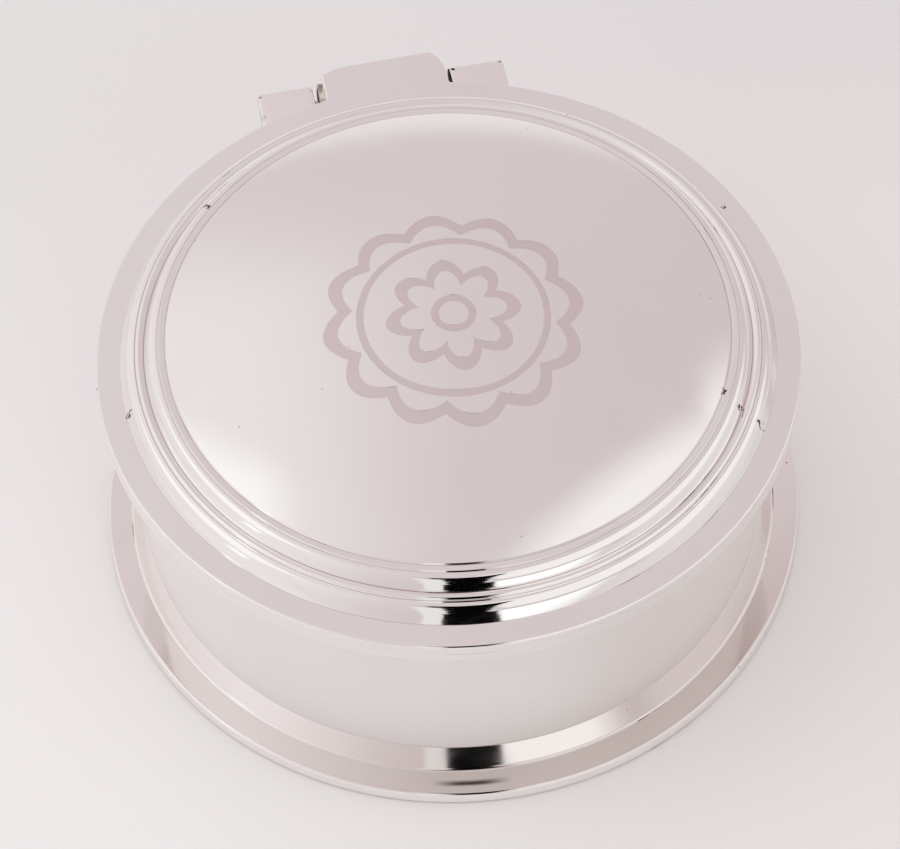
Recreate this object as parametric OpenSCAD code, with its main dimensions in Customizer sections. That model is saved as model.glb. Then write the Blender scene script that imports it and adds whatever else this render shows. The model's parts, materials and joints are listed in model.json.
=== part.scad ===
// Round silver-plated pill box with a stepped, domed lid on a three-knuckle hinge.
// The origin is at the centre of the underside. +Z is up and the hinge is at +Y.

/* [Overall] */
// Diameter over the lid's rim and the body's rim
rim_d = 50; // [48:0.5:52]
// Diameter over the foot
foot_d = 52; // [51:0.5:54]
// Height of the body, from the table to the face where the lid rests
body_h = 18.5; // [16:0.5:24]
// Thickness of each flat rim
rim_t = 0.9; // [0.8:0.05:1.1]
// Distance that the rim stands out beyond the wall
rim_overhang = 1.9; // [1.7:0.1:2.1]
// Thickness of the body's wall
wall_t = 0.8; // [0.7:0.05:0.9]
// Radius on the outer edges of the rims
edge_r = 0.25; // [0.15:0.05:0.3]

/* [Foot] */
// Height of the foot's upright edge
foot_edge_h = 1.2; // [1:0.1:1.5]
// Height at which the foot's cone meets the wall
foot_h = 2.8; // [2.5:0.1:3.2]
// Width of the cone, measured out from the wall
foot_cone_w = 1.05; // [0.9:0.05:1.2]
// Thickness of the base plate
base_t = 0.9; // [0.7:0.1:1]

/* [Bezel] */
// Thickness of the collar that locates the lid
bezel_t = 0.8; // [0.6:0.1:0.9]
// Height that the collar stands above the body's rim
bezel_lip = 0.6; // [0.4:0.1:0.6]
// Depth that the collar reaches down the inside of the wall
bezel_depth = 4; // [3:0.5:6]
// Gap between the collar and the inside of the lid
bezel_gap = 0.3; // [0.3:0.05:0.4]

/* [Lid] */
// Width of the flat rim outside the mouldings
flat_w = 1.67; // [1.6:0.01:1.7]
// Width of each rounded step
step_w = 1; // [0.95:0.01:1.05]
// Height of each rounded step
step_h = 0.95; // [0.9:0.01:1]
// Slope of the straight flank at the foot of each step, in degrees
step_slope = 60; // [57:1:65]
// Width of each bead
bead_w = 0.68; // [0.65:0.01:0.7]
// Rise from the outer side of each bead to its inner side
bead_rise = 0.15; // [0.1:0.01:0.2]
// Height that each bead stands above its own seat
bead_stand = 0.15; // [0.1:0.01:0.25]
// Rise of the dome above its edge
dome_rise = 3.5; // [3:0.25:5]
// Thickness of the dome
dome_t = 0.7; // [0.6:0.05:0.8]

/* [Hinge] */
// Outer radius of the knuckles
knuckle_r = 1.5; // [1.4:0.05:1.5]
// Distance of the pin's axis behind the rim's edge
pin_offset = 1; // [0.95:0.05:1.1]
// Radius of the pin
pin_r = 0.6; // [0.5:0.05:0.7]
// Radial clearance between the pin and the lid's knuckle
pin_clearance = 0.05; // [0.03:0.01:0.08]
// Length of the lid's centre knuckle
centre_w = 9.8; // [8:0.1:11]
// Length of each outer knuckle
knuckle_w = 4.15; // [3:0.05:5]
// Gap between the centre knuckle and each outer one
knuckle_gap = 0.4; // [0.3:0.05:0.6]
// Distance that the flat tops of the outer knuckles reach behind the pin's axis
flat_reach = 0.8; // [0.5:0.05:1]
// Distance that the lid's tongue reaches behind the pin's axis
tongue_reach = 1.85; // [1.5:0.05:2]
// Distance that the tongue's left side stands in from the end of the centre knuckle
tongue_inset = 0.4; // [0.1:0.05:0.6]
// Corner radius of the tongue on its left side
tongue_left_r = 0.8; // [0.5:0.1:2]
// Corner radius of the tongue on its right side
tongue_right_r = 1.8; // [0.5:0.1:2]
// Radius of the heel that stops the open lid
heel_r = 2.2; // [2.1:0.05:2.25]

/* [Hidden] */
$fn = 180;
// Segments in each small arc of an outline
arc_n = 6;
// Distance that a cutting solid runs past the face it cuts
past = 1;

rim_r = rim_d / 2;
foot_r = foot_d / 2;
wall_r = rim_r - rim_overhang;
wall_in_r = wall_r - wall_t;
wall_top = body_h - rim_t;

bezel_in_r = wall_in_r - bezel_t;
lid_in_r = wall_in_r + bezel_gap;

// Outer radius and starting height of the lid's mouldings
mould_r = rim_r - flat_w;
mould_z = body_h + rim_t;
// Number of steps, each with its bead
steps = 2;
pitch_r = step_w + bead_w;
pitch_z = step_h + bead_rise;
// Edge of the dome
dome_r = mould_r - steps * pitch_r;
dome_z = mould_z + steps * pitch_z;
// Depth of the dome's upright edge, and width of the ledge under it
dome_edge_h = 0.6;
ledge_w = 1;
ledge_t = 0.7;
dome_sphere_r = (dome_r * dome_r + dome_rise * dome_rise) / (2 * dome_rise);

pin_y = rim_r + pin_offset;
pin_z = body_h - knuckle_r;
centre_half = centre_w / 2;
hinge_half = centre_half + knuckle_gap + knuckle_w;
tongue_back = pin_y + tongue_reach;
// Half-width of the flat seat on top of the centre knuckle
seat_half = 1.1;
// Gap between the centre knuckle and the floor of the rim's notch
notch_gap = 0.3;
notch_y = pin_y - knuckle_r - notch_gap;
// Width and thickness of the heel
heel_w = 7;
heel_t = 0.9;
// Height above the table of the lug's lower end on the wall
lug_bottom = pin_z - 2.4;

plated = "#d9ced0";
plated_lid = "#d2c6c9";
plated_dark = "#b7abae";

// Points of an arc of radius r about c, from angle a0 to angle a1
function arc(c, r, a0, a1) =
    [for (i = [0 : arc_n]) let(a = a0 + (a1 - a0) * i / arc_n) c + r * [cos(a), sin(a)]];

// Points of an arc from a to b that stands s above the straight line between them, without a itself
function crown(a, b, s) =
    let(along = (b - a) / norm(b - a), up = [along[1], -along[0]], half = norm(b - a) / 2,
        r = (half * half + s * s) / (2 * s), c = (a + b) / 2 - up * (r - s), w = asin(half / r))
    [for (i = [1 : arc_n]) let(t = w * (2 * i / arc_n - 1)) c + r * (up * cos(t) + along * sin(t))];

// One moulding step from its outer foot p: straight flank, rounded shoulder, then the bead
function step_outline(p) =
    let(r = (tan(step_slope) * step_w - step_h) / (tan(step_slope) * sin(step_slope) + cos(step_slope) - 1),
        shoulder = arc(p + [-step_w, step_h - r], r, 90 - step_slope, 90))
    concat([p], shoulder, crown(shoulder[arc_n], p + [-pitch_r, pitch_z], bead_stand));

// Flat ring between two radii with its outer edges rounded
module flange(in_r, out_r, z0, z1) {
    rotate_extrude()
        polygon(concat([[in_r, z0]], arc([out_r - edge_r / 2, z0 + edge_r / 2], edge_r / 2, -90, 0),
                       arc([out_r - edge_r, z1 - edge_r], edge_r, 0, 90), [[in_r, z1]]));
}

module tube(out_r, in_r, z0, z1) {
    difference() {
        translate([0, 0, z0]) cylinder(h = z1 - z0, r = out_r);
        translate([0, 0, z0 - past]) cylinder(h = z1 - z0 + 2 * past, r = in_r);
    }
}

// Bar of a Y-Z outline that runs along X from x0 to x1
module bar_x(x0, x1) {
    translate([x0, 0, 0]) rotate([90, 0, 90]) linear_extrude(x1 - x0) children();
}

module rod_x(x0, x1, r) {
    bar_x(x0, x1) translate([pin_y, pin_z]) circle(r);
}

module base_plate() {
    color(plated_dark) cylinder(h = base_t, r = wall_r);
}

module foot_ring() {
    color(plated)
        rotate_extrude()
            polygon(concat([[wall_r, 0]], arc([foot_r - edge_r / 2, edge_r / 2], edge_r / 2, -90, 0),
                           arc([foot_r - edge_r, foot_edge_h - edge_r], edge_r, 0, 90),
                           [[wall_r + foot_cone_w, foot_edge_h], [wall_r, foot_h]]));
}

module body_wall() {
    color(plated) tube(wall_r, wall_in_r, base_t, wall_top);
}

module body_rim() {
    color(plated)
        difference() {
            flange(wall_in_r, rim_r, wall_top, body_h);
            translate([-centre_half - knuckle_gap, notch_y, wall_top - past])
                cube([centre_w + 2 * knuckle_gap, rim_r, rim_t + 2 * past]);
        }
}

module locating_bezel() {
    color(plated_dark)
        rotate_extrude()
            polygon([[bezel_in_r, body_h - bezel_depth], [wall_in_r, body_h - bezel_depth],
                     [wall_in_r, body_h + bezel_lip / 2], [wall_in_r - bezel_t / 3, body_h + bezel_lip],
                     [bezel_in_r, body_h + bezel_lip]]);
}

// Outer knuckle from x0 to x1: a barrel, flat on top, on a lug soldered to the wall and to the rim's edge
module outer_knuckle(x0, x1) {
    color(plated)
        difference() {
            union() {
                rod_x(x0, x1, knuckle_r);
                bar_x(x0, x1)
                    polygon([[0, lug_bottom], [pin_y - knuckle_r, lug_bottom],
                             [pin_y, pin_z - knuckle_r], [pin_y + knuckle_r, pin_z],
                             [pin_y + flat_reach, body_h], [0, body_h]]);
            }
            translate([0, 0, wall_top]) cylinder(h = rim_t + past, r = rim_r);
            cylinder(h = body_h, r = wall_r);
            rod_x(x0 - past, x1 + past, pin_r);
        }
}

module left_knuckle() {
    outer_knuckle(-hinge_half, knuckle_w - hinge_half);
}

module right_knuckle() {
    outer_knuckle(hinge_half - knuckle_w, hinge_half);
}

module hinge_pin() {
    color(plated_dark) rod_x(-hinge_half, hinge_half, pin_r);
}

// Plan of the tongue: a strip from the hinge side of the rim, with its two back corners rounded
module tongue_outline() {
    left = tongue_inset - centre_half;
    right = centre_half;
    difference() {
        polygon(concat([[left, 0], [right, 0]],
                       arc([right - tongue_right_r, tongue_back - tongue_right_r], tongue_right_r, 0, 90),
                       arc([left + tongue_left_r, tongue_back - tongue_left_r], tongue_left_r, 90, 180)));
        circle((lid_in_r + rim_r) / 2);
    }
}

module lid_rim() {
    color(plated_lid) {
        flange(lid_in_r, rim_r, body_h, mould_z);
        translate([0, 0, body_h]) linear_extrude(rim_t) tongue_outline();
    }
}

module lid_moulding() {
    ledge_z = dome_z - dome_edge_h;
    inner_r = dome_r - ledge_w;
    color(plated_lid)
        rotate_extrude()
            polygon([for (i = [0 : steps - 1])
                         each step_outline([mould_r - i * pitch_r, mould_z + i * pitch_z]),
                     [dome_r, ledge_z], [inner_r, ledge_z], [inner_r, ledge_z - ledge_t],
                     [lid_in_r, mould_z]]);
}

module lid_dome() {
    centre_z = dome_z + dome_rise - dome_sphere_r;
    plate_h = dome_edge_h + dome_rise + past;
    color(plated_lid)
        difference() {
            intersection() {
                translate([0, 0, centre_z]) sphere(dome_sphere_r);
                translate([0, 0, dome_z - dome_edge_h]) cylinder(h = plate_h, r = dome_r);
            }
            translate([0, 0, centre_z]) sphere(dome_sphere_r - dome_t);
        }
}

module lid_knuckle() {
    color(plated_lid)
        difference() {
            union() {
                rod_x(-centre_half, centre_half, knuckle_r);
                bar_x(-centre_half, centre_half)
                    translate([pin_y - seat_half, pin_z]) square([2 * seat_half, knuckle_r]);
                bar_x(-heel_w / 2, heel_w / 2) translate([pin_y, pin_z - heel_r]) square([heel_t, heel_r]);
            }
            rod_x(-centre_half - past, centre_half + past, pin_r + pin_clearance);
        }
}

base_plate();
foot_ring();
body_wall();
body_rim();
locating_bezel();
left_knuckle();
right_knuckle();
hinge_pin();
lid_rim();
lid_moulding();
lid_dome();
lid_knuckle();
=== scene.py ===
import json
import math

import bmesh
import bpy
import numpy as np
from mathutils import Matrix, Vector


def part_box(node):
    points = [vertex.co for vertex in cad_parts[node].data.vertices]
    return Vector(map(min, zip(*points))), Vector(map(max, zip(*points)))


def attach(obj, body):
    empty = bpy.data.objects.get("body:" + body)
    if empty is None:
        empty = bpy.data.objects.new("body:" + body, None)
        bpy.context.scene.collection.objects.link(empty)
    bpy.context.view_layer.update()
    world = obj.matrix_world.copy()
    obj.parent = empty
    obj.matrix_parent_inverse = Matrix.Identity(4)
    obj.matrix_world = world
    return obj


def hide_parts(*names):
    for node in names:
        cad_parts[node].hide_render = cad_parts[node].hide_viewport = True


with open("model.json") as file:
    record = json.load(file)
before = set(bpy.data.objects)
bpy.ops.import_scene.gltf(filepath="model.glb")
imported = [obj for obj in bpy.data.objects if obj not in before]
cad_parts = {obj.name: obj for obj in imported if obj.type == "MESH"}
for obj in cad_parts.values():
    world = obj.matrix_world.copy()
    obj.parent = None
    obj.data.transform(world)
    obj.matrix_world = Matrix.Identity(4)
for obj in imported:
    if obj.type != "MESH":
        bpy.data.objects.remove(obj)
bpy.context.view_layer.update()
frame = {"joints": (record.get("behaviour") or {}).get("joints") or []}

# ---------------------------------------------------------------- sizes, in metres
MM = 0.001


def low(node):
    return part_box(node)[0]


def high(node):
    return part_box(node)[1]


RIM_R = high("lid_rim").x
FOOT_R = high("foot_ring").x
FOOT_H = high("foot_ring").z
WALL_R = high("body_wall").x
BASE_T = high("base_plate").z
WALL_TOP = low("body_rim").z
BODY_H = high("body_rim").z
MOULD_R = high("lid_moulding").x
MOULD_Z = high("lid_rim").z
DOME_R = high("lid_dome").x
DOME_TOP = high("lid_dome").z
DOME_SEAT = low("lid_dome").z
BEZEL_R = high("locating_bezel").x
BEZEL_LOW, BEZEL_TOP = low("locating_bezel").z, high("locating_bezel").z
LID_IN_R = BEZEL_R + 0.3 * MM
TONGUE_BACK = high("lid_rim").y
HINGE = Vector(frame["joints"][0]["pos_m"])
KNUCKLE_R = BODY_H - HINGE.z
CENTRE_HALF = high("lid_knuckle").x
OUTER_X = (low("right_knuckle").x, high("right_knuckle").x)
PIN_HALF = high("hinge_pin").x
PIN_R = high("hinge_pin").z - HINGE.z
HEEL_R = HINGE.z - low("lid_knuckle").z
LUG_LOW = low("right_knuckle").z

# The foot's edge height and the width of its cone
FOOT_EDGE_H = 1.2 * MM
FOOT_CONE_W = 1.05 * MM
# The bezel's thickness, and the height of the bevel that leads the lid over it
BEZEL_T, BEZEL_LEAD = 0.8 * MM, 0.3 * MM
# Half the width of the centre knuckle's flat seat, and the gap round it in the body's rim
SEAT_HALF = 1.1 * MM
NOTCH_GAP = 0.3 * MM
# The heel under the centre knuckle, which stops the open lid
HEEL_W, HEEL_T = 7 * MM, 0.9 * MM
# The outer knuckles: how far the flat top of the left one and of the right one reaches past the pin's
# axis, the rounding where it ends, and the angles between which the barrels are round
LEFT_REACH, RIGHT_REACH, REACH_R = 0.95 * MM, 0.65 * MM, 0.12 * MM
BARREL_FROM, BARREL_TO = 0.45 - math.pi / 2, 0.6
# Their lugs: thickness inside the rim, and how far they end inside the wall and inside the rim's edge
LUG_T = 0.4 * MM
IN_WALL, IN_RIM = 0.25 * MM, 0.05 * MM
# Rounding of the end edges of the outer knuckles, the centre knuckle and its heel
OUTER_END_R, CENTRE_END_R, HEEL_END_R = 0.08 * MM, 0.05 * MM, 0.1 * MM
# The pin's end past its nominal length, and the height and last angle of its peened dome
PIN_SPARE, PIN_DOME, PIN_LAST = 0.02 * MM, 0.06 * MM, 1.45
# The dome's thickness, its seat in the moulding and the height of its edge
DOME_T = 0.7 * MM
LEDGE_W, LEDGE_T = 1.0 * MM, 0.7 * MM
DOME_EDGE_H = 0.6 * MM

# Rounding of the lid rim's outer edge and under the body's rim, and the break left on sharp corners
EDGE_R, UNDER_R = 0.15 * MM, 0.06 * MM
BREAK = 0.015 * MM
# Rounding of the foot's edge, above and below, and of the hollow at the foot of its cone
FOOT_EDGE_R, FOOT_UNDER_R, HOLLOW_R = 0.21 * MM, 0.12 * MM, 0.28 * MM
# Half the width of the tarnished seam that starts in the hollow
SEAM_HALF = 0.04 * MM
# The foot's lip against the wall: width, height and rounding
FOOT_LIP, FOOT_LIP_H, FOOT_LIP_R = 0.07 * MM, FOOT_H - 0.11 * MM, 0.045 * MM
# The flange's width past its nominal edge, and how far it stands off centre
FLANGE_SPARE = 0.12 * MM
FLANGE_SHIFT = (0.09 * MM, -0.04 * MM)
# Segments round the box, and the slope of a face's normal below which the face counts as upright
ROUND = 512
UPRIGHT = 0.02

# The lid's moulding in section, inward and upward from the foot of its lower step. Each step is a
# straight flank and a round shoulder: width, height and slope where the shoulder ends
STEP_SLOPE = math.radians(60)
LOWER_STEP = (1.22 * MM, 1.16 * MM, math.radians(10))
UPPER_STEP = (0.97 * MM, 0.86 * MM, math.radians(4))
# A small riser and a tread lead from the lower step to a bead, whose back slopes to the upper step
LOWER_TREAD = [(1.12 * MM, 1.215 * MM), (1.18 * MM, 1.215 * MM)]
BEAD = (1.43 * MM, 1.14 * MM, 0.26 * MM)
BEAD_FRONT, BEAD_BACK = math.radians(17), math.radians(102)
# The moulding's foot stands a little inside the plain ring's nominal line
MOULD_SHY = 0.05 * MM
UPPER_FOOT = (1.80 * MM, 1.25 * MM)
# A small riser, a flat and a slight slope lead from the upper step to the dome, whose edge is bevelled
UPPER_TREAD = [(2.79 * MM, 2.11 * MM), (2.83 * MM, 2.11 * MM)]
UPPER_TREAD += [(2.90 * MM, 2.19 * MM), (3.06 * MM, 2.19 * MM)]
DOME_SHY, DOME_FOOT_H, DOME_BEVEL = 0.06 * MM, 2.14 * MM, 0.09 * MM
# Width of the tarnished line left in each hollow corner
LINE_W = 0.045 * MM

# The lid's tongue: how far its left side stands in from the centre knuckle's end, the width and
# depth of its right corner, and the fillet at its roots
TONGUE_INSET = 0.4 * MM
TONGUE_RIGHT = (1.2 * MM, 2.3 * MM)
ROOT_R = 0.25 * MM
# The bend in its back edge: x, how far it stands in from the back, and rounding. The left corner: how
# far it stands in, and rounding. Then the width of the straight part beside the right corner
BEND_X, BEND_IN, BEND_R = -3.2 * MM, 0.15 * MM, 0.9 * MM
CORNER_IN, CORNER_R = 0.7 * MM, 0.2 * MM
STRAIGHT_END = 0.6 * MM

# ---------------------------------------------------------------- outlines
def arc(centre, radius, start, end, n):
    """n + 1 points of an arc, angles in radians."""
    return [
        (centre[0] + radius * math.cos(a), centre[1] + radius * math.sin(a))
        for a in (start + (end - start) * i / n for i in range(n + 1))
    ]


def rounded(corners, n=5):
    """A closed outline from (x, y, radius) corners. Flats get a support point just inside each end."""
    points = []
    count = len(corners)
    for i, (x, y, radius) in enumerate(corners):
        here = Vector((x, y))
        before = Vector(corners[i - 1][:2]) - here
        after = Vector(corners[(i + 1) % count][:2]) - here
        if radius <= 0:
            points.append((x, y))
            continue
        a, b = before.normalized(), after.normalized()
        angle = a.angle(b)
        reach = radius / math.tan(angle / 2)
        centre = here + (a + b).normalized() * radius / math.sin(angle / 2)
        start, end = here + a * reach, here + b * reach
        support = 0.3 * radius
        points.append(tuple(start + a * support))
        a0 = math.atan2(*(start - centre).yx)
        turn = (math.atan2(*(end - centre).yx) - a0 + math.pi) % (2 * math.pi) - math.pi
        points += arc(centre, radius, a0, a0 + turn, n)
        points.append(tuple(end + b * support))
    return points


def shoulder(foot, step, n=18):
    """A straight flank and the round shoulder above it, inward and upward from foot."""
    width, height, last = step
    slope = math.tan(STEP_SLOPE)
    radius = (slope * width - height) / (slope * math.sin(STEP_SLOPE) + math.cos(STEP_SLOPE) - 1)
    centre = (foot[0] - width, foot[1] + height - radius)
    return [foot] + arc(centre, radius, math.pi / 2 - STEP_SLOPE, math.pi / 2 - last, n)


def toward(a, b, distance):
    """The point at a distance from a on the way to b."""
    k = distance / math.dist(a, b)
    return a[0] + (b[0] - a[0]) * k, a[1] + (b[1] - a[1]) * k


# ---------------------------------------------------------------- mesh helpers
def add_mesh(name, verts, faces, crease=35):
    """A smooth-shaded object whose edges sharper than crease degrees stay sharp."""
    mesh = bpy.data.meshes.new(name)
    mesh.from_pydata([tuple(v) for v in verts], [], faces)
    work = bmesh.new()
    work.from_mesh(mesh)
    bmesh.ops.recalc_face_normals(work, faces=work.faces)
    if work.calc_volume(signed=True) < 0:
        bmesh.ops.reverse_faces(work, faces=work.faces)
    work.to_mesh(mesh)
    work.free()
    mesh.polygons.foreach_set("use_smooth", [True] * len(mesh.polygons))
    mesh.set_sharp_from_angle(angle=math.radians(crease))
    obj = bpy.data.objects.new(name, mesh)
    bpy.context.scene.collection.objects.link(obj)
    return obj


def loft(rows, closed=True):
    """Faces between rows of equal length. Each row is a loop; closed joins the last row to the first."""
    n = len(rows[0])
    verts = [p for row in rows for p in row]
    faces = []
    for i in range(len(rows) if closed else len(rows) - 1):
        a, b = i * n, ((i + 1) % len(rows)) * n
        for j in range(n):
            k = (j + 1) % n
            faces.append((a + j, a + k, b + k, b + j))
    return verts, faces


def capped(rows):
    """Faces between rows, and a flat face on the first and the last."""
    verts, faces = loft(rows, closed=False)
    n = len(rows[0])
    faces.append(tuple(range(n - 1, -1, -1)))
    faces.append(tuple(range(len(verts) - n, len(verts))))
    return verts, faces


def circle_row(r, z, n=ROUND):
    return [(r * math.cos(2 * math.pi * j / n), r * math.sin(2 * math.pi * j / n), z) for j in range(n)]


def lathe(name, outline, marked=()):
    """A ring from a closed (radius, height) outline. The band that starts at a marked point takes the
    second material."""
    obj = add_mesh(name, *loft([circle_row(r, z) for r, z in outline]))
    bands = [int(point in marked) for point in outline]
    obj.data.polygons.foreach_set("material_index", [band for band in bands for _ in range(ROUND)])
    return obj


def disc(name, outline):
    """A round plate. The outline runs from the axis below to the axis above."""
    rows = [circle_row(r, z) for r, z in outline if r > 0]
    verts, faces = loft(rows, closed=False)
    bottom, top = len(verts), len(verts) + 1
    verts = verts + [(0, 0, outline[0][1]), (0, 0, outline[-1][1])]
    last = (len(rows) - 1) * ROUND
    faces += [(bottom, (j + 1) % ROUND, j) for j in range(ROUND)]
    faces += [(top, last + j, last + (j + 1) % ROUND) for j in range(ROUND)]
    return add_mesh(name, verts, faces)


def inset(loop, distance):
    """The closed loop moved inward by distance. The loop runs anticlockwise."""
    p = np.array(loop)
    tangent = np.roll(p, -1, axis=0) - np.roll(p, 1, axis=0)
    tangent /= np.linalg.norm(tangent, axis=1)[:, None]
    return p + distance * np.stack([-tangent[:, 1], tangent[:, 0]], axis=1)


def flange(name, loop, in_r, z0, z1, top_edge, bottom_edge):
    """A flat ring with a free outer edge line, rounded above and below, and a round inner edge. Its
    upright faces take the second material."""
    below = arc((0, 0), bottom_edge, -math.pi / 2, 0, 5)
    above = arc((0, 0), top_edge, 0, math.pi / 2, 8)
    profile = [(1.3 * bottom_edge, z0)]
    profile += [(bottom_edge - x, z0 + bottom_edge + y) for x, y in below]
    profile += [(top_edge - x, z1 - top_edge + y) for x, y in above]
    profile += [(1.15 * top_edge, z1)]
    rows = [[(x, y, z) for x, y in inset(loop, d)] for d, z in profile]
    for r, z in ((in_r + BREAK, z1), (in_r, z1 - BREAK), (in_r, z0 + BREAK), (in_r + BREAK, z0)):
        rows.append([(r * x / math.hypot(x, y), r * y / math.hypot(x, y), z) for x, y in loop])
    obj = add_mesh(name, *loft(rows))
    for face in obj.data.polygons:
        face.material_index = int(abs(face.normal.z) < UPRIGHT)
    return obj


def bar_rows(outline_at, x0, x1, edge):
    """Loops of a bar along X, whose Y-Z outline may change with x, with its end edges rounded."""
    ends = [(edge + x, edge - y) for x, y in arc((0, 0), edge, math.pi, math.pi / 2, 4)]
    places = [(x0 + x, d) for x, d in ends]
    places += [(x0 + edge + (x1 - x0 - 2 * edge) * i / 12, 0) for i in range(1, 12)]
    places += [(x1 - x, d) for x, d in reversed(ends)]
    return [[(x, y, z) for y, z in inset(outline_at(x), d)] for x, d in places]


def bar_x(name, outline, x0, x1, edge):
    return add_mesh(name, *capped(bar_rows(lambda x: outline, x0, x1, edge)))


def join(name, *objs):
    """Joins meshes that belong to one piece."""
    verts, faces = [], []
    for mesh in [o.data for o in objs]:
        base = len(verts)
        verts += [tuple(v.co) for v in mesh.vertices]
        faces += [tuple(base + i for i in p.vertices) for p in mesh.polygons]
    for o in objs:
        bpy.data.objects.remove(o)
    return add_mesh(name, verts, faces)


def finish_piece(obj, body, slot, node, *materials):
    for material in materials:
        obj.data.materials.append(material)
    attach(obj, body)
    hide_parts(node)
    return obj


# ---------------------------------------------------------------- materials
class Tree:
    """A short way to write a node tree. Values are numbers, colours or outputs of other nodes."""

    def add(self, kind, **settings):
        node = self.tree.nodes.new(kind)
        for key, value in settings.items():
            setattr(node, key, value)
        return node

    def feed(self, socket, value):
        if isinstance(value, (int, float)):
            socket.default_value = value
        elif isinstance(value, tuple):
            socket.default_value = (*value, 1)
        else:
            self.tree.links.new(value, socket)

    def calc(self, operation, *values):
        node = self.add("ShaderNodeMath", operation=operation)
        for socket, value in zip(node.inputs, values):
            self.feed(socket, value)
        return node.outputs["Value"]

    def both(self, *amounts):
        """The product of the amounts."""
        result = amounts[0]
        for amount in amounts[1:]:
            result = self.calc("MULTIPLY", result, amount)
        return result

    def span(self, value, a, b, to_a=0.0, to_b=1.0):
        """A smooth change from to_a to to_b as the value goes from a to b."""
        node = self.add("ShaderNodeMapRange", interpolation_type="SMOOTHSTEP")
        for key, number in zip(("From Min", "From Max", "To Min", "To Max"), (a, b, to_a, to_b)):
            node.inputs[key].default_value = number
        self.feed(node.inputs["Value"], value)
        return node.outputs["Result"]

    def blend(self, amount, a, b):
        node = self.add("ShaderNodeMix", data_type="RGBA")
        self.feed(node.inputs["Factor"], amount)
        self.feed(node.inputs[6], a)
        self.feed(node.inputs[7], b)
        return node.outputs[2]


class Nodes(Tree):
    """A material's node tree."""

    def __init__(self, name):
        self.material = bpy.data.materials.new(name)
        self.material.use_nodes = True
        self.tree = self.material.node_tree
        self.shader = self.tree.nodes["Principled BSDF"]
        self.place = self.add("ShaderNodeTexCoord").outputs["Object"]

    def link(self, a, b):
        self.tree.links.new(a, b)

    def noise(self, scale, detail=3.0, stretch=None):
        place = self.place
        if stretch:
            mapping = self.add("ShaderNodeMapping")
            mapping.inputs["Scale"].default_value = stretch
            self.link(place, mapping.inputs["Vector"])
            place = mapping.outputs["Vector"]
        node = self.add("ShaderNodeTexNoise")
        node.inputs["Scale"].default_value = scale
        node.inputs["Detail"].default_value = detail
        self.link(place, node.inputs["Vector"])
        return node.outputs["Fac"]

    def spots(self, scale, size):
        """1 in small round spots, 0 between them."""
        node = self.add("ShaderNodeTexVoronoi")
        node.inputs["Scale"].default_value = scale
        self.link(self.place, node.inputs["Vector"])
        return self.span(node.outputs["Distance"], size, size * 0.6, 0.0, 1.0)

    def specks(self, places, lowest):
        """1 in broken specks round the places, each x, y and radius in mm. 0 below the lowest height."""
        split = self.add("ShaderNodeVectorMath", operation="MULTIPLY")
        self.link(self.place, split.inputs[0])
        split.inputs[1].default_value = (1 / MM, 1 / MM, 0)
        total = None
        for x, y, radius in places:
            away = self.add("ShaderNodeVectorMath", operation="DISTANCE")
            self.link(split.outputs["Vector"], away.inputs[0])
            away.inputs[1].default_value = (x, y, 0)
            spot = self.span(away.outputs["Value"], 0.5 * radius, radius, 1.0, 0.0)
            if total is None:
                total = spot
                continue
            total = self.calc("MAXIMUM", total, spot)
        height = self.add("ShaderNodeSeparateXYZ")
        self.link(self.place, height.inputs["Vector"])
        total = self.both(total, self.span(height.outputs["Z"], lowest, lowest + SPECK_FADE, 0.0, 1.0))
        return self.both(total, self.span(self.noise(3600, 3.0), 0.48, 0.53, 0.0, 1.0))

    def painted_shade(self, colour, tone, towards, start, end):
        """The colour turning to the tone on one side, between two distances from the axis: painted
        shade.
        """
        dot = self.add("ShaderNodeVectorMath", operation="DOT_PRODUCT")
        self.link(self.place, dot.inputs[0])
        dot.inputs[1].default_value = (*towards, 0)
        return self.blend(self.span(dot.outputs["Value"], start, end, 0.0, 1.0), colour, tone)

    def painted_reflection(self, colour, tone, radius, turn):
        """The colour with a soft streak of the tone along a short arc round the axis: a painted
        reflection.
        """
        flat = self.add("ShaderNodeVectorMath", operation="MULTIPLY")
        self.link(self.place, flat.inputs[0])
        flat.inputs[1].default_value = (1, 1, 0)
        length = self.add("ShaderNodeVectorMath", operation="LENGTH")
        self.link(flat.outputs["Vector"], length.inputs[0])
        away = length.outputs["Value"]
        rise = self.span(away, radius - REFLECTION_INNER, radius, 0.0, 1.0)
        fall = self.span(away, radius + REFLECTION_OUTER[0], radius + REFLECTION_OUTER[1], 1.0, 0.0)
        middle = self.add("ShaderNodeVectorMath", operation="DISTANCE")
        self.link(flat.outputs["Vector"], middle.inputs[0])
        middle.inputs[1].default_value = (radius * math.cos(turn), radius * math.sin(turn), 0)
        ends = self.span(middle.outputs["Value"], *REFLECTION_ENDS, 1.0, 0.0)
        return self.blend(self.both(rise, fall, ends), colour, tone)

    def bump(self, height, strength, distance):
        node = self.add("ShaderNodeBump")
        node.inputs["Strength"].default_value = strength
        node.inputs["Distance"].default_value = distance
        self.link(height, node.inputs["Height"])
        self.link(node.outputs["Normal"], self.shader.inputs["Normal"])


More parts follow.
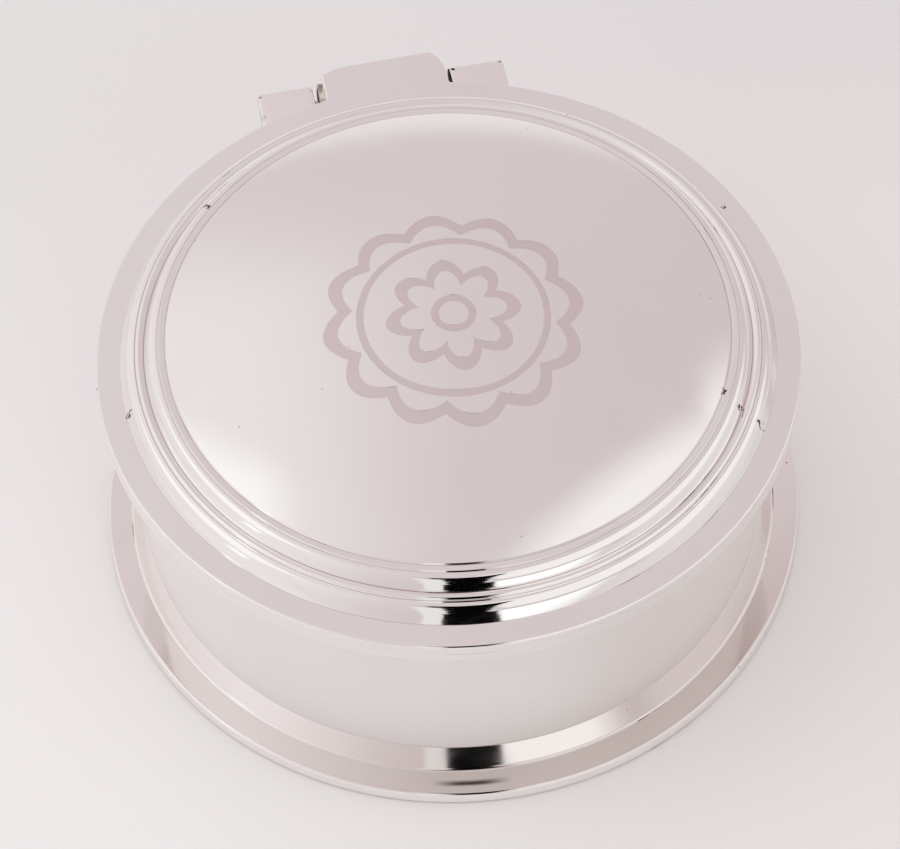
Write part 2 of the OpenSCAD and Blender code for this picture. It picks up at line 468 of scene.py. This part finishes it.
def silver(name, tone, warm, rough, wave, pits, specks=(), painted_shade=None, painted_reflection=None):
    """Polished silver plate: two close tones, faint wipe marks that vary its roughness, a slight
    wave and a few tiny pits. It may have specks of tarnish, painted shade that darkens one side, and
    a dark streak that is a painted reflection."""
    m = Nodes(name)
    m.shader.inputs["Metallic"].default_value = 1.0
    colour = m.blend(m.span(m.noise(90, 2.0), 0.35, 0.7, 0.0, 1.0), tone, warm)
    if painted_shade:
        colour = m.painted_shade(colour, *painted_shade)
    if painted_reflection:
        colour = m.painted_reflection(colour, *painted_reflection)
    if specks:
        colour = m.blend(m.specks(*specks), colour, DIRT)
    pit = m.both(m.spots(900, 0.075), m.span(m.noise(130, 1.0), 0.63, 0.66, 0.0, pits))
    m.link(m.blend(pit, colour, DIRT), m.shader.inputs["Base Color"])
    wipes = m.span(m.noise(220, 4.0, (1.0, 3.5, 1.0)), 0.4, 0.75, rough, rough * 1.7)
    m.link(wipes, m.shader.inputs["Roughness"])
    m.bump(m.noise(120, 1.0), wave, 0.0004)
    return m.material


def satin(name, tone, warm, rough, streak=(1.0, 12.0, 1.0), depth=0.15, metal=1.0, painted_shade=None):
    """Plate that was only brushed: soft streaks and a duller tone, and maybe painted shade on one side.
    """
    m = Nodes(name)
    m.shader.inputs["Metallic"].default_value = metal
    grain = m.noise(900, 4.0, streak)
    colour = m.blend(m.span(m.noise(140, 3.0), 0.3, 0.7, 0.0, 1.0), tone, warm)
    if painted_shade:
        colour = m.painted_shade(colour, *painted_shade)
    m.link(colour, m.shader.inputs["Base Color"])
    smooth, coarse = rough * (1 - depth), rough * (1 + depth)
    m.link(m.span(grain, 0.3, 0.7, smooth, coarse), m.shader.inputs["Roughness"])
    m.bump(grain, depth, 0.00003)
    return m.material


def tarnished(name, tone, dirt, cover, fine):
    """Plate with old polish and tarnish left in it in broken specks."""
    m = Nodes(name)
    patches = m.span(m.noise(110, 2.0), 1.0 - cover, 1.1 - cover, 0.0, 1.0)
    specks = m.both(patches, m.span(m.noise(fine, 3.0), 0.44, 0.54, 0.0, 1.0))
    m.link(m.blend(specks, tone, dirt), m.shader.inputs["Base Color"])
    m.link(m.span(specks, 0.0, 1.0, 1.0, 0.0), m.shader.inputs["Metallic"])
    m.link(m.span(specks, 0.0, 1.0, 0.12, 0.7), m.shader.inputs["Roughness"])
    return m.material


# Specks of tarnish on the lid and on the hinge: x, y and radius in mm
LID_SPECKS = [
    (22.2, 8.3, 0.26),
    (17.6, -9.4, 0.34),
    (18.6, -10.6, 0.36),
    (19.8, -11.6, 0.40),
    (21.9, -2.4, 0.14),
    (22.6, 5.5, 0.20),
    (-15.0, 14.4, 0.36),
    (-16.1, 11.2, 0.20),
    (-24.9, 1.3, 0.12),
    (-23.0, -1.7, 0.34),
]
HINGE_SPECKS = [
    (2.95, 25.9, 0.10),
    (-9.35, 26.7, 0.20),
    (-5.35, 26.6, 0.18),
    (5.6, 26.5, 0.25),
    (9.2, 26.5, 0.16),
    (-9.6, 24.7, 0.50),
]
DIRT = (0.06, 0.045, 0.04)

# Pairs of close tones, and each side darkened by painted shade: tone, its direction in plan, where it
# starts and ends
WHITE, SOFT_WHITE = (0.93, 0.915, 0.91), (0.92, 0.90, 0.895)
FOOT_TONES = (0.92, 0.885, 0.87), (0.89, 0.85, 0.83)
FOOT_PAINTED_SHADE = ((0.79, 0.725, 0.70), (0.34, -0.94), 12 * MM, 23.5 * MM)
HINGE_TONES = (0.97, 0.94, 0.925), (0.94, 0.91, 0.89)
WALL_TONES = (0.90, 0.878, 0.868), (0.885, 0.858, 0.843)
# The wall was brushed up and down
WALL_GRAIN = (1.0, 1.0, 0.02)
WALL_PAINTED_SHADE = ((0.82, 0.78, 0.765), (0.77, -0.64), 16 * MM, 21.5 * MM)
# The painted reflection of a dark streak on the foot's flange: tone, distance from the axis and
# direction, then where its inner, outer and end fades begin and stop
FOOT_PAINTED_REFLECTION = ((0.10, 0.085, 0.08), FOOT_R - 0.77 * MM, math.radians(-98))
REFLECTION_INNER, REFLECTION_OUTER, REFLECTION_ENDS = 0.35 * MM, (0.05 * MM, 0.3 * MM), (0.6 * MM, 3.2 * MM)
# The height over which specks fade, and groups of specks with the height below which there are none
SPECK_FADE = 0.3 * MM
LID_MARKS = (LID_SPECKS, BODY_H)
DOME_MARKS = (LID_SPECKS[1:2], MOULD_Z)
HINGE_MARKS = (HINGE_SPECKS, BODY_H - 0.7 * MM)

PLATE = silver("silver_plate", (0.87, 0.845, 0.84), (0.86, 0.83, 0.825), 0.06, 0.02, 0.8)
LID_PLATE = silver("lid_plate", WHITE, SOFT_WHITE, 0.045, 0.02, 0.8, LID_MARKS)
DOME_PLATE = silver("dome_plate", WHITE, SOFT_WHITE, 0.08, 0.02, 0.4, DOME_MARKS)
# The foot's plate: painted shade darkens it towards the right front, and a dark streak on its flange is
# a painted reflection
FOOT_PLATE = silver("foot_plate", *FOOT_TONES, 0.07, 0.03, 0.9, painted_shade=FOOT_PAINTED_SHADE, painted_reflection=FOOT_PAINTED_REFLECTION)
# The foot's upright edge: a lighter copy of the foot's plate, painted light
FOOT_SIDE_PAINTED_LIGHT = silver("foot_side_painted_light", (0.98, 0.96, 0.95), (0.96, 0.93, 0.92), 0.10, 0.03, 0.9)
HINGE_PLATE = silver("hinge_plate", *HINGE_TONES, 0.08, 0.05, 0.9, HINGE_MARKS)
# The wall's plate, also on the rims' upright sides: painted shade darkens it towards the right front
WALL_PLATE = satin("wall_plate", *WALL_TONES, 0.46, WALL_GRAIN, 0.01, metal=0.15, painted_shade=WALL_PAINTED_SHADE)
ENGRAVED = satin("engraved_satin", (0.78, 0.70, 0.72), (0.76, 0.68, 0.70), 0.40)
INSIDE = satin("inside_satin", (0.86, 0.83, 0.82), (0.80, 0.76, 0.74), 0.22)
PIN_METAL = satin("pin_wire", (0.70, 0.66, 0.63), (0.52, 0.47, 0.43), 0.25)
SEAM = tarnished("seam_tarnish", (0.93, 0.90, 0.88), (0.10, 0.07, 0.06), 0.42, 900)
# Tarnish in the moulding's hollow corners, also used as painted contact shade along the bottom of the
# foot's edge
LINE_TARNISH_AND_SHADE = tarnished("line_tarnish_and_contact_shade", (0.68, 0.60, 0.57), (0.10, 0.07, 0.06), 0.40, 900)
GAP = tarnished("gap_tarnish", (0.60, 0.55, 0.50), (0.018, 0.028, 0.02), 0.72, 500)
SOLDER = tarnished("solder_scratches", (0.88, 0.81, 0.73), (0.30, 0.23, 0.17), 0.56, 3600)


# ---------------------------------------------------------------- body
def body_wall():
    """A plain sleeve from the base plate up to the rim."""
    outline = [(BEZEL_R, BASE_T), (WALL_R, BASE_T), (WALL_R, WALL_TOP), (BEZEL_R, WALL_TOP)]
    obj = lathe("body_wall_shell", outline)
    return finish_piece(obj, "body", "body_plate", "body_wall", WALL_PLATE)


def foot():
    """The spun foot ring, with tarnish in its seam, a lighter copy of its plate on its upright edge as
    painted light, and a dark line of painted contact shade along the bottom of its edge. The flange
    was trued by hand and stands a little off centre."""
    outer = FOOT_R + FLANGE_SPARE
    hollow = (WALL_R + FOOT_CONE_W, FOOT_EDGE_H)
    outline = rounded(
        [
            (WALL_R, 0, 0),
            (outer, 0, FOOT_UNDER_R),
            (outer, FOOT_EDGE_H, FOOT_EDGE_R),
            (*hollow, HOLLOW_R),
            (WALL_R + FOOT_LIP, FOOT_LIP_H, FOOT_LIP_R),
            (WALL_R, FOOT_LIP_H, 0),
        ],
        n=8,
    )
    seam_at = hollow[0] + 0.5 * HOLLOW_R
    seam = [(r, z) for r, z in outline if abs(r - seam_at) < SEAM_HALF]
    obj = lathe("foot_ring_spun", outline, seam)
    # The upright edge takes the lighter copy of the plate, painted light, and the bottom rounding a dark
    # line of painted contact shade
    for face in obj.data.polygons:
        if face.center.z < FOOT_EDGE_H - 0.3 * FOOT_EDGE_R:
            face.material_index = 3 if face.center.z < FOOT_UNDER_R else 2
    for vertex in obj.data.vertices:
        out = (math.hypot(vertex.co.x, vertex.co.y) - WALL_R) / (FOOT_R - WALL_R)
        vertex.co.x += out * FLANGE_SHIFT[0]
        vertex.co.y += out * FLANGE_SHIFT[1]
    return finish_piece(obj, "body", "body_plate", "foot_ring", FOOT_PLATE, SEAM, FOOT_SIDE_PAINTED_LIGHT, LINE_TARNISH_AND_SHADE)


def base_plate():
    edge = WALL_R
    outline = [(0, 0)]
    outline += [(r, 0) for r in (0.3 * edge, 0.6 * edge, edge - BREAK)]
    outline += [(edge, BREAK), (edge, BASE_T)]
    outline += [(r, BASE_T) for r in (0.6 * edge, 0.3 * edge)]
    outline += [(0, BASE_T)]
    return finish_piece(disc("base_plate_disc", outline), "body", "inside_plate", "base_plate", INSIDE)


def bezel():
    inner = BEZEL_R - BEZEL_T
    outline = rounded(
        [
            (inner, BEZEL_LOW, BREAK),
            (BEZEL_R, BEZEL_LOW, 0),
            (BEZEL_R, BEZEL_TOP - BEZEL_LEAD, BREAK),
            (BEZEL_R - BEZEL_T / 3, BEZEL_TOP, BREAK),
            (inner, BEZEL_TOP, BREAK),
        ]
    )
    obj = lathe("locating_bezel_ring", outline)
    return finish_piece(obj, "body", "inside_plate", "locating_bezel", INSIDE)


def along(a, b, n):
    """Points from a up to, but not including, b."""
    return [(a[0] + (b[0] - a[0]) * i / n, a[1] + (b[1] - a[1]) * i / n) for i in range(n)]


def rim_arc(from_angle, to_angle):
    """Points on the rim's circle, anticlockwise, without the last."""
    n = max(2, round(ROUND * (to_angle - from_angle) / (2 * math.pi)))
    return arc((0, 0), RIM_R, from_angle, to_angle, n)[:-1]


def body_rim():
    """The rim's edge line: a circle with a shallow straight notch where the centre knuckle turns."""
    half = OUTER_X[0]
    notch = HINGE.y - KNUCKLE_R - NOTCH_GAP
    start = math.asin(half / RIM_R)
    edge_y = RIM_R * math.cos(start)
    loop = rim_arc(math.pi / 2 + start, 2.5 * math.pi - start)
    loop += along((half, edge_y), (half, notch), 3)
    loop += along((half, notch), (-half, notch), 40)
    loop += along((-half, notch), (-half, edge_y), 3)
    obj = flange("body_rim_flange", loop, BEZEL_R, WALL_TOP, BODY_H, BREAK, UNDER_R)
    return finish_piece(obj, "body", "body_plate", "body_rim", PLATE, WALL_PLATE)


def outer_knuckle(side):
    """A barrel, flat on top, on a lug that ends inside the wall and inside the rim's edge."""
    y, z, r = HINGE.y, HINGE.z, KNUCKLE_R
    reach = LEFT_REACH if side < 0 else RIGHT_REACH
    barrel = arc((y, z), r, BARREL_FROM, BARREL_TO, 40)
    corner = rounded([(*barrel[-1], 0), (y + reach, BODY_H, REACH_R), (y, BODY_H, 0)])

    def outline_at(x):
        wall_y = math.sqrt(WALL_R**2 - x**2) - IN_WALL
        rim_y = math.sqrt(RIM_R**2 - x**2) - IN_RIM
        low_end = [(wall_y, LUG_LOW), (y - r, LUG_LOW)]
        buried = [(rim_y, BODY_H), (rim_y, BODY_H - LUG_T), (wall_y, BODY_H - LUG_T)]
        return low_end + barrel[:-1] + corner + buried

    x0, x1 = OUTER_X if side > 0 else (-OUTER_X[1], -OUTER_X[0])
    name = "left" if side < 0 else "right"
    obj = add_mesh(f"{name}_knuckle_lug", *capped(bar_rows(outline_at, x0, x1, OUTER_END_R)))
    for face in obj.data.polygons:
        face.material_index = int(abs(face.normal.x) > 0.9 and abs(face.center.x) < abs(x0 + x1) / 2)
    return finish_piece(obj, "body", "body_plate", f"{name}_knuckle", HINGE_PLATE, GAP)


def hinge_pin():
    """Straight wire with its ends peened to a low dome that fills the mouth of the knuckles."""
    n = 48
    end = PIN_HALF + PIN_SPARE - PIN_DOME
    rows = [(end + PIN_DOME * math.sin(a), PIN_R * math.cos(a)) for a in np.linspace(0, PIN_LAST, 8)]
    rows = [(-x, r) for x, r in reversed(rows)] + rows
    loops = []
    for x, r in rows:
        turn = [2 * math.pi * j / n for j in range(n)]
        loops.append([(x, HINGE.y + r * math.cos(t), HINGE.z + r * math.sin(t)) for t in turn])
    obj = add_mesh("hinge_pin_wire", *capped(loops))
    return finish_piece(obj, "body", "pin_metal", "hinge_pin", PIN_METAL)


# ---------------------------------------------------------------- lid
def fillet_into_rim(half, radius):
    """Where a straight side at x = half meets the rim in a hollow fillet: centre and rim angle."""
    cx = half + radius
    cy = math.sqrt((RIM_R + radius) ** 2 - cx**2)
    return (cx, cy), math.atan2(cy, cx)


def lid_rim():
    """The rim's edge line runs out round the hinge tongue, whose corners are filed by hand."""
    left, right = CENTRE_HALF - TONGUE_INSET, CENTRE_HALF
    right_centre, right_turn = fillet_into_rim(right, ROOT_R)
    left_centre, left_turn = fillet_into_rim(left, ROOT_R)
    wide, deep = TONGUE_RIGHT
    loop = rim_arc(math.pi - left_turn, 2 * math.pi + right_turn)
    loop += arc(right_centre, ROOT_R, math.pi + right_turn, math.pi, 8)
    loop += along((right, right_centre[1]), (right, TONGUE_BACK - deep), 6)[1:]
    for i in range(21):
        turn = math.pi / 2 * i / 20
        loop.append((right + wide * (math.cos(turn) - 1), TONGUE_BACK + deep * (math.sin(turn) - 1)))
    start = (right - wide - STRAIGHT_END, TONGUE_BACK)
    bend = (BEND_X, TONGUE_BACK - BEND_IN)
    corner = (-left, TONGUE_BACK - CORNER_IN)
    foot_point = (-left, left_centre[1])
    loop += rounded([(*start, 0), (*bend, BEND_R), (*corner, CORNER_R), (*foot_point, 0)])
    loop += arc((-left_centre[0], left_centre[1]), ROOT_R, 0, -left_turn, 8)[1:-1]
    obj = flange("lid_rim_flange", loop, LID_IN_R, BODY_H, MOULD_Z, EDGE_R, BREAK)
    return finish_piece(obj, "lid", "lid_plate", "lid_rim", LID_PLATE, WALL_PLATE)


def lid_moulding():
    """Two rounded steps, with a small bead between them and a flat band above."""

    def place(inward, upward):
        return MOULD_R - MOULD_SHY - inward, MOULD_Z + upward

    lower = shoulder(place(0, 0), LOWER_STEP)
    lower.insert(1, toward(lower[0], lower[1], LINE_W))
    first_tread = [place(*p) for p in LOWER_TREAD]
    bead = arc(place(*BEAD[:2]), BEAD[2], BEAD_FRONT, BEAD_BACK, 14)
    upper = shoulder(place(*UPPER_FOOT), UPPER_STEP)
    bead.append(toward(upper[0], bead[-1], LINE_W))
    upper.insert(1, toward(upper[0], upper[1], LINE_W))
    second_tread = [place(*p) for p in UPPER_TREAD]
    dome_edge = DOME_R - DOME_SHY
    dome_foot = [(dome_edge + LINE_W, MOULD_Z + DOME_FOOT_H), (dome_edge, MOULD_Z + DOME_FOOT_H)]
    seat = [(dome_edge, DOME_SEAT), (DOME_R - LEDGE_W, DOME_SEAT)]
    ledge = [(DOME_R - LEDGE_W, DOME_SEAT - LEDGE_T), (LID_IN_R, MOULD_Z)]
    outline = lower + first_tread + bead + upper + second_tread + dome_foot + seat + ledge
    lines = [lower[0], first_tread[0], bead[-1], upper[0], second_tread[0], dome_foot[0]]
    obj = lathe("lid_moulding_ring", outline, lines)
    return finish_piece(obj, "lid", "lid_plate", "lid_moulding", LID_PLATE, LINE_TARNISH_AND_SHADE)


# Engraved lines of the rosette: mean radius, depth of the petals, number of petals, width
ENGRAVING = [
    (1.3 * MM, 0.0, 0, 0.5 * MM),
    (3.6 * MM, 1.3 * MM, 4, 0.95 * MM),
    (6.5 * MM, 0.0, 0, 0.45 * MM),
    (8.1 * MM, 1.1 * MM, 6, 0.95 * MM),
]
# The rosette stands off centre. The dome's outermost rows share the shift out to nothing
ROSETTE_SHIFT = (0.2 * MM, -1.5 * MM)
SHARING_ROWS = 9
# Depth of the engraving, and the width of its sloping sides
CUT = 0.03 * MM
CUT_SIDE = 0.05 * MM


def dome_rows():
    """Rows of the dome's top from the middle out: radius at an angle, depth, engraved outside."""
    rows, last = [], (lambda t: 0.0)

    def between(a, b, k):
        return lambda t: a(t) + (b(t) - a(t)) * k

    def petal_edge(mean, lobe, count, offset):
        return lambda t: mean + offset + lobe * (abs(math.cos(count * t)) - 0.5)

    for mean, lobe, count, width in ENGRAVING:
        offsets = (-width / 2 - CUT_SIDE, -width / 2, width / 2, width / 2 + CUT_SIDE)
        edges = [petal_edge(mean, lobe, count, offset) for offset in offsets]
        rows += [(between(last, edges[0], k), 0.0, 0) for k in (0.12, 0.35, 0.6, 0.8, 0.95)]
        rows += [(edges[0], 0.0, 1), (edges[1], CUT, 1)]
        rows += [(between(edges[1], edges[2], k), CUT, 1) for k in (0.05, 0.5, 0.95)]
        rows += [(edges[2], CUT, 1), (edges[3], 0.0, 0)]
        last = edges[3]
    edge = petal_edge(DOME_R - DOME_SHY - DOME_BEVEL, 0.0, 0, 0.0)
    spread = (0.01, 0.06, 0.15, 0.3, 0.45, 0.6, 0.75, 0.9, 0.985)
    rows += [(between(last, edge, k), 0.0, 0) for k in spread]
    rows += [(edge, 0.0, 0)]
    return rows


def lid_dome():
    """A shallow dome with the rosette on top. Its underside takes the inside's plate."""
    edge_r, edge_z = DOME_R, DOME_SEAT + DOME_EDGE_H
    rise = DOME_TOP - edge_z
    sphere = (edge_r**2 + rise**2) / (2 * rise)
    centre_z = DOME_TOP - sphere

    def height(x, y, radius):
        return centre_z + math.sqrt(radius**2 - x**2 - y**2)

    plan = dome_rows()
    rows = []
    for i, (radius, depth, _) in enumerate(plan):
        outer = len(plan) - 1 - i
        keep = min(1.0, outer / SHARING_ROWS)
        row = []
        for j in range(ROUND):
            t = 2 * math.pi * j / ROUND
            x = radius(t) * math.cos(t) + ROSETTE_SHIFT[0] * keep
            y = radius(t) * math.sin(t) + ROSETTE_SHIFT[1] * keep
            row.append((x, y, height(x, y, sphere) - depth))
        rows.append(row)
    rows.append(circle_row(DOME_R - DOME_SHY, MOULD_Z + DOME_FOOT_H))
    top_count = len(rows)
    inner = sphere - DOME_T
    inner_r = math.sqrt(inner**2 - (DOME_SEAT - centre_z) ** 2)
    rows.append(circle_row(DOME_R - DOME_SHY, DOME_SEAT))
    for k in (1.0, 0.8, 0.6, 0.4, 0.2):
        rows.append(circle_row(k * inner_r, height(k * inner_r, 0, inner)))
    verts, faces = loft(rows, closed=False)
    crest, roof = len(verts), len(verts) + 1
    middle = ROSETTE_SHIFT
    verts += [(*middle, height(*middle, sphere)), (0, 0, height(0, 0, inner))]
    last = (len(rows) - 1) * ROUND
    faces += [(crest, (j + 1) % ROUND, j) for j in range(ROUND)]
    faces += [(roof, last + j, last + (j + 1) % ROUND) for j in range(ROUND)]
    obj = add_mesh("lid_dome_plate", verts, faces, crease=12)
    finish_piece(obj, "lid", "lid_plate", "lid_dome", DOME_PLATE, ENGRAVED, INSIDE)
    bands = [kind for _, _, kind in plan] + [0] * (top_count - len(plan))
    bands += [2] * (len(rows) - 1 - len(bands)) + [0, 2]
    obj.data.polygons.foreach_set("material_index", [band for band in bands for _ in range(ROUND)])
    return obj


def lid_knuckle():
    """A barrel with a flat seat on top, soldered to the lid, and a heel below. Its end faces are
    tarnished."""
    y, z, r = HINGE.y, HINGE.z, KNUCKLE_R
    side = math.acos(SEAT_HALF / r)
    outline = arc((y, z), r, math.pi - side, 2 * math.pi + side, 64)
    outline += [(y + SEAT_HALF, z + r), (y - SEAT_HALF, z + r)]
    barrel = bar_x("barrel", outline, -CENTRE_HALF, CENTRE_HALF, CENTRE_END_R)
    heel_line = rounded(
        [(y, z - HEEL_R, 0.1 * MM), (y + HEEL_T, z - HEEL_R, 0.25 * MM), (y + HEEL_T, z, 0), (y, z, 0)]
    )
    heel = bar_x("heel", heel_line, -HEEL_W / 2, HEEL_W / 2, HEEL_END_R)
    obj = join("lid_knuckle_barrel", barrel, heel)
    for face in obj.data.polygons:
        on_seat = face.center.z > z + r - 0.03 * MM
        face.material_index = 2 if on_seat else int(abs(face.normal.x) > 0.9)
    return finish_piece(obj, "lid", "lid_plate", "lid_knuckle", HINGE_PLATE, GAP, SOLDER)


# ---------------------------------------------------------------- studio
# Upright things by the camera: a pale strip, the stand, the camera on it and the stand's foot. Each is
# (low, high) of the sideways part of the direction, which keeps its edges straight up to the camera,
# then (low, high) of the elevation, then tone
BLACK = 0.0012
UPRIGHTS = [
    ((-0.155, -0.02), (-20, 60), 0.84),
    ((-0.040, 0.155), (-25, 66), BLACK),
    ((-0.080, 0.160), (61, 72), BLACK),
    ((-0.060, 0.210), (-25, 9), BLACK),
]
# How soft their sides are, and how far the sides are torn
UPRIGHT_SOFT, TORN = 0.008, 0.08
BASE_LIGHT, BASE_RIGHT, LOW_LIGHT = (0.705, 0.628, 0.644), (0.665, 0.590, 0.590), (0.68, 0.62, 0.61)
LEFT_GLOW, LEFT_PANEL, LEFT_STRIP = (0.87, 0.82, 0.82), (1.03, 1.02, 1.005), (1.08, 1.07, 1.05)
RIGHT_PANEL, RIGHT_TABLE, RIGHT_DARK = (0.96, 0.93, 0.92), (0.79, 0.765, 0.75), (0.64, 0.605, 0.585)
RIGHT_GLARE = (1.13, 1.15, 1.15)
BACKDROP = (0.78, 0.76, 0.765)
# The panels' upper edges lean by this much of the direction's part towards the camera
PANEL_LEAN = 0.95
CAMERA_AZIMUTH = -10.0


class Studio(Tree):
    """The world's node tree."""

    def __init__(self):
        world = bpy.data.worlds.new("studio")
        bpy.context.scene.world = world
        world.use_nodes = True
        self.tree = world.node_tree
        self.background = self.tree.nodes["Background"]

    def band(self, value, low_end, high_end, soft_low, soft_high):
        """1 between low_end and high_end, with a soft edge at each."""
        rise = self.span(value, low_end - soft_low / 2, low_end + soft_low / 2)
        fall = self.span(value, high_end + soft_high / 2, high_end - soft_high / 2)
        return self.both(rise, fall)


def directions(w):
    """A direction's part to the camera's right and its part towards the camera, and its azimuth from
    the camera and elevation, in degrees."""
    split = w.add("ShaderNodeSeparateXYZ")
    w.feed(split.inputs["Vector"], w.add("ShaderNodeTexCoord").outputs["Generated"])
    x, y, z = split.outputs
    turn = math.radians(CAMERA_AZIMUTH)
    side = w.calc("ADD", w.calc("MULTIPLY", x, math.cos(turn)), w.calc("MULTIPLY", y, math.sin(turn)))
    across, along_y = w.calc("MULTIPLY", x, math.sin(turn)), w.calc("MULTIPLY", y, math.cos(turn))
    near = w.calc("SUBTRACT", across, along_y)
    azimuth = w.calc("MULTIPLY", w.calc("ARCTAN2", side, near), 180 / math.pi)
    elevation = w.calc("MULTIPLY", w.calc("ARCSINE", z), 180 / math.pi)
    return side, near, azimuth, elevation


def panels(w, side, near, azimuth, elevation):
    """The tent's soft panels, each over the ones before it: amount and tone."""
    lean = w.calc("MULTIPLY", near, PANEL_LEAN)
    glow = w.both(w.span(side, 0.10, -0.55), w.span(azimuth, -8, -58), w.span(near, -0.98, -0.58))
    back_glow = w.both(w.band(elevation, -10, 14, 6, 8), w.span(near, -0.4, -0.8))
    left_edge = w.both(w.span(w.calc("SUBTRACT", lean, side), 0.18, 0.34), w.span(azimuth, -62, -68))
    left_panel = w.both(left_edge, w.band(elevation, 35, 65, 6, 10))
    left_strip = w.both(w.band(azimuth, -67, -61, 3, 3), w.band(elevation, -20, 24, 6, 6))
    table_sides = w.both(w.span(azimuth, 48, 64), w.span(azimuth, 116, 108))
    right_table = w.both(table_sides, w.span(elevation, 34, 20))
    right_dark = w.both(w.band(azimuth, 12, 54, 4, 12), w.band(elevation, 11, 24, 4, 6))
    right_glare = w.both(w.band(azimuth, 12, 44, 4, 16), w.band(elevation, 0, 10, 3, 3))
    upper = w.span(w.calc("ADD", lean, side), 0.17, 0.33)
    lower = w.both(w.span(side, 0.53, 0.60), w.span(near, -0.62, -0.36))
    right_panel = w.both(w.calc("MAXIMUM", upper, lower), w.span(elevation, 19.5, 28.5))
    return (
        (glow, LEFT_GLOW),
        (back_glow, LEFT_GLOW),
        (left_panel, LEFT_PANEL),
        (left_strip, LEFT_STRIP),
        (right_table, RIGHT_TABLE),
        (right_dark, RIGHT_DARK),
        (right_glare, RIGHT_GLARE),
        (w.both(right_panel, w.span(azimuth, 12, 16)), RIGHT_PANEL),
    )


def uprights(w, side, near, elevation):
    """The upright things by the camera, with torn sides: amount and tone."""
    place = w.add("ShaderNodeCombineXYZ")
    w.feed(place.inputs[0], w.calc("MULTIPLY", side, 9.0))
    w.feed(place.inputs[1], w.calc("MULTIPLY", elevation, 0.55))
    ragged = w.add("ShaderNodeTexNoise")
    ragged.inputs["Scale"].default_value = 1.0
    w.feed(ragged.inputs["Vector"], place.outputs[0])
    torn = w.calc("MULTIPLY", w.calc("SUBTRACT", ragged.outputs["Fac"], 0.5), TORN)
    torn = w.calc("ADD", side, torn)
    facing = w.calc("GREATER_THAN", near, 0.0)
    things = []
    for (left, right), (bottom, top), tone in UPRIGHTS:
        sides = w.both(w.band(torn, left, right, UPRIGHT_SOFT, UPRIGHT_SOFT), facing)
        amount = w.both(sides, w.band(elevation, bottom, top, 2, 2))
        things.append((amount, (tone, 0.985 * tone, 0.975 * tone)))
    return things


def studio_world():
    """A pale tent with soft panels and a dark stand, seen only in reflections."""
    w = Studio()
    side, near, azimuth, elevation = directions(w)
    colour = w.blend(w.span(side, -0.1, 0.6), BASE_LIGHT, BASE_RIGHT)
    colour = w.blend(w.span(elevation, 20, 0), colour, LOW_LIGHT)
    for amount, tone in panels(w, side, near, azimuth, elevation):
        colour = w.blend(amount, colour, tone)
    for amount, tone in uprights(w, side, near, elevation):
        colour = w.blend(amount, colour, tone)
    seen = w.blend(w.add("ShaderNodeLightPath").outputs["Is Camera Ray"], colour, BACKDROP)
    w.feed(w.background.inputs["Color"], seen)


# The floor's tones at its left and right, in front of the box and behind it; the darker ones are painted
# shade
FLOOR_FRONT = (0.96, 0.955, 0.962), (0.88, 0.86, 0.85)
FLOOR_BACK = (0.85, 0.845, 0.85), (0.80, 0.785, 0.80)
FLOOR_SIZE = 6
# The lamp over it, which points at the origin
LAMP_AT, LAMP_SIZE, LAMP_POWER = (-0.4, 0.1, 1.5), 2.4, 4.9


def floor():
    """Pale paper, with painted shade that darkens it slowly to the right and to the back."""
    bpy.ops.mesh.primitive_plane_add(size=FLOOR_SIZE, location=(0, 0, -0.02 * MM))
    plane = bpy.context.object
    plane.name = "floor"
    m = Nodes("floor_paper")
    m.shader.inputs["Roughness"].default_value = 0.9
    m.shader.inputs["Specular IOR Level"].default_value = 0.1
    split = m.add("ShaderNodeSeparateXYZ")
    m.link(m.place, split.inputs["Vector"])
    across = m.span(split.outputs["X"], -0.045, 0.055, 0.0, 1.0)
    front, back = m.blend(across, *FLOOR_FRONT), m.blend(across, *FLOOR_BACK)
    depth = m.span(split.outputs["Y"], 0.0, 0.05, 0.0, 1.0)
    m.link(m.blend(depth, front, back), m.shader.inputs["Base Color"])
    plane.data.materials.append(m.material)


def overhead_light():
    """A broad lamp for the floor only: the plate doesn't mirror it."""
    data = bpy.data.lights.new("overhead", "AREA")
    data.shape, data.size, data.energy = "DISK", LAMP_SIZE, LAMP_POWER
    lamp = bpy.data.objects.new("overhead", data)
    lamp.location = LAMP_AT
    lamp.rotation_euler = (-Vector(LAMP_AT)).to_track_quat("-Z", "Y").to_euler()
    lamp.visible_glossy = False
    bpy.context.scene.collection.objects.link(lamp)


# Camera: elevation and roll in degrees, distance and its shift down across the line of sight, and the
# lens with its sensor in mm
VIEW_ELEVATION = 54.56
VIEW_ROLL = 1.41
VIEW_DISTANCE = 212.75 * MM
VIEW_DROP = 5.62 * MM
LENS, SENSOR = 120, 36


def camera():
    a, e = math.radians(CAMERA_AZIMUTH), math.radians(VIEW_ELEVATION)
    back = Vector((math.sin(a) * math.cos(e), -math.cos(a) * math.cos(e), math.sin(e)))
    right = Vector((math.cos(a), math.sin(a), 0))
    up = back.cross(right)
    data = bpy.data.cameras.new("camera")
    data.lens, data.sensor_width = LENS, SENSOR
    data.clip_start, data.clip_end = 0.01, 20
    cam = bpy.data.objects.new("camera", data)
    bpy.context.scene.collection.objects.link(cam)
    axes = Matrix((right, up, back)).transposed()
    roll = Matrix.Rotation(-math.radians(VIEW_ROLL), 3, "Z")
    place = Vector((0, 0, MOULD_Z)) + back * VIEW_DISTANCE - up * VIEW_DROP
    cam.matrix_world = Matrix.Translation(place) @ (axes @ roll).to_4x4()
    bpy.context.scene.camera = cam


camera()
for make in (body_wall, foot, base_plate, bezel, body_rim, hinge_pin):
    make()
for make in (lid_rim, lid_moulding, lid_dome, lid_knuckle):
    make()
for side in (-1, 1):
    outer_knuckle(side)
floor()
overhead_light()
studio_world()
bpy.context.scene.view_settings.view_transform = "Standard"
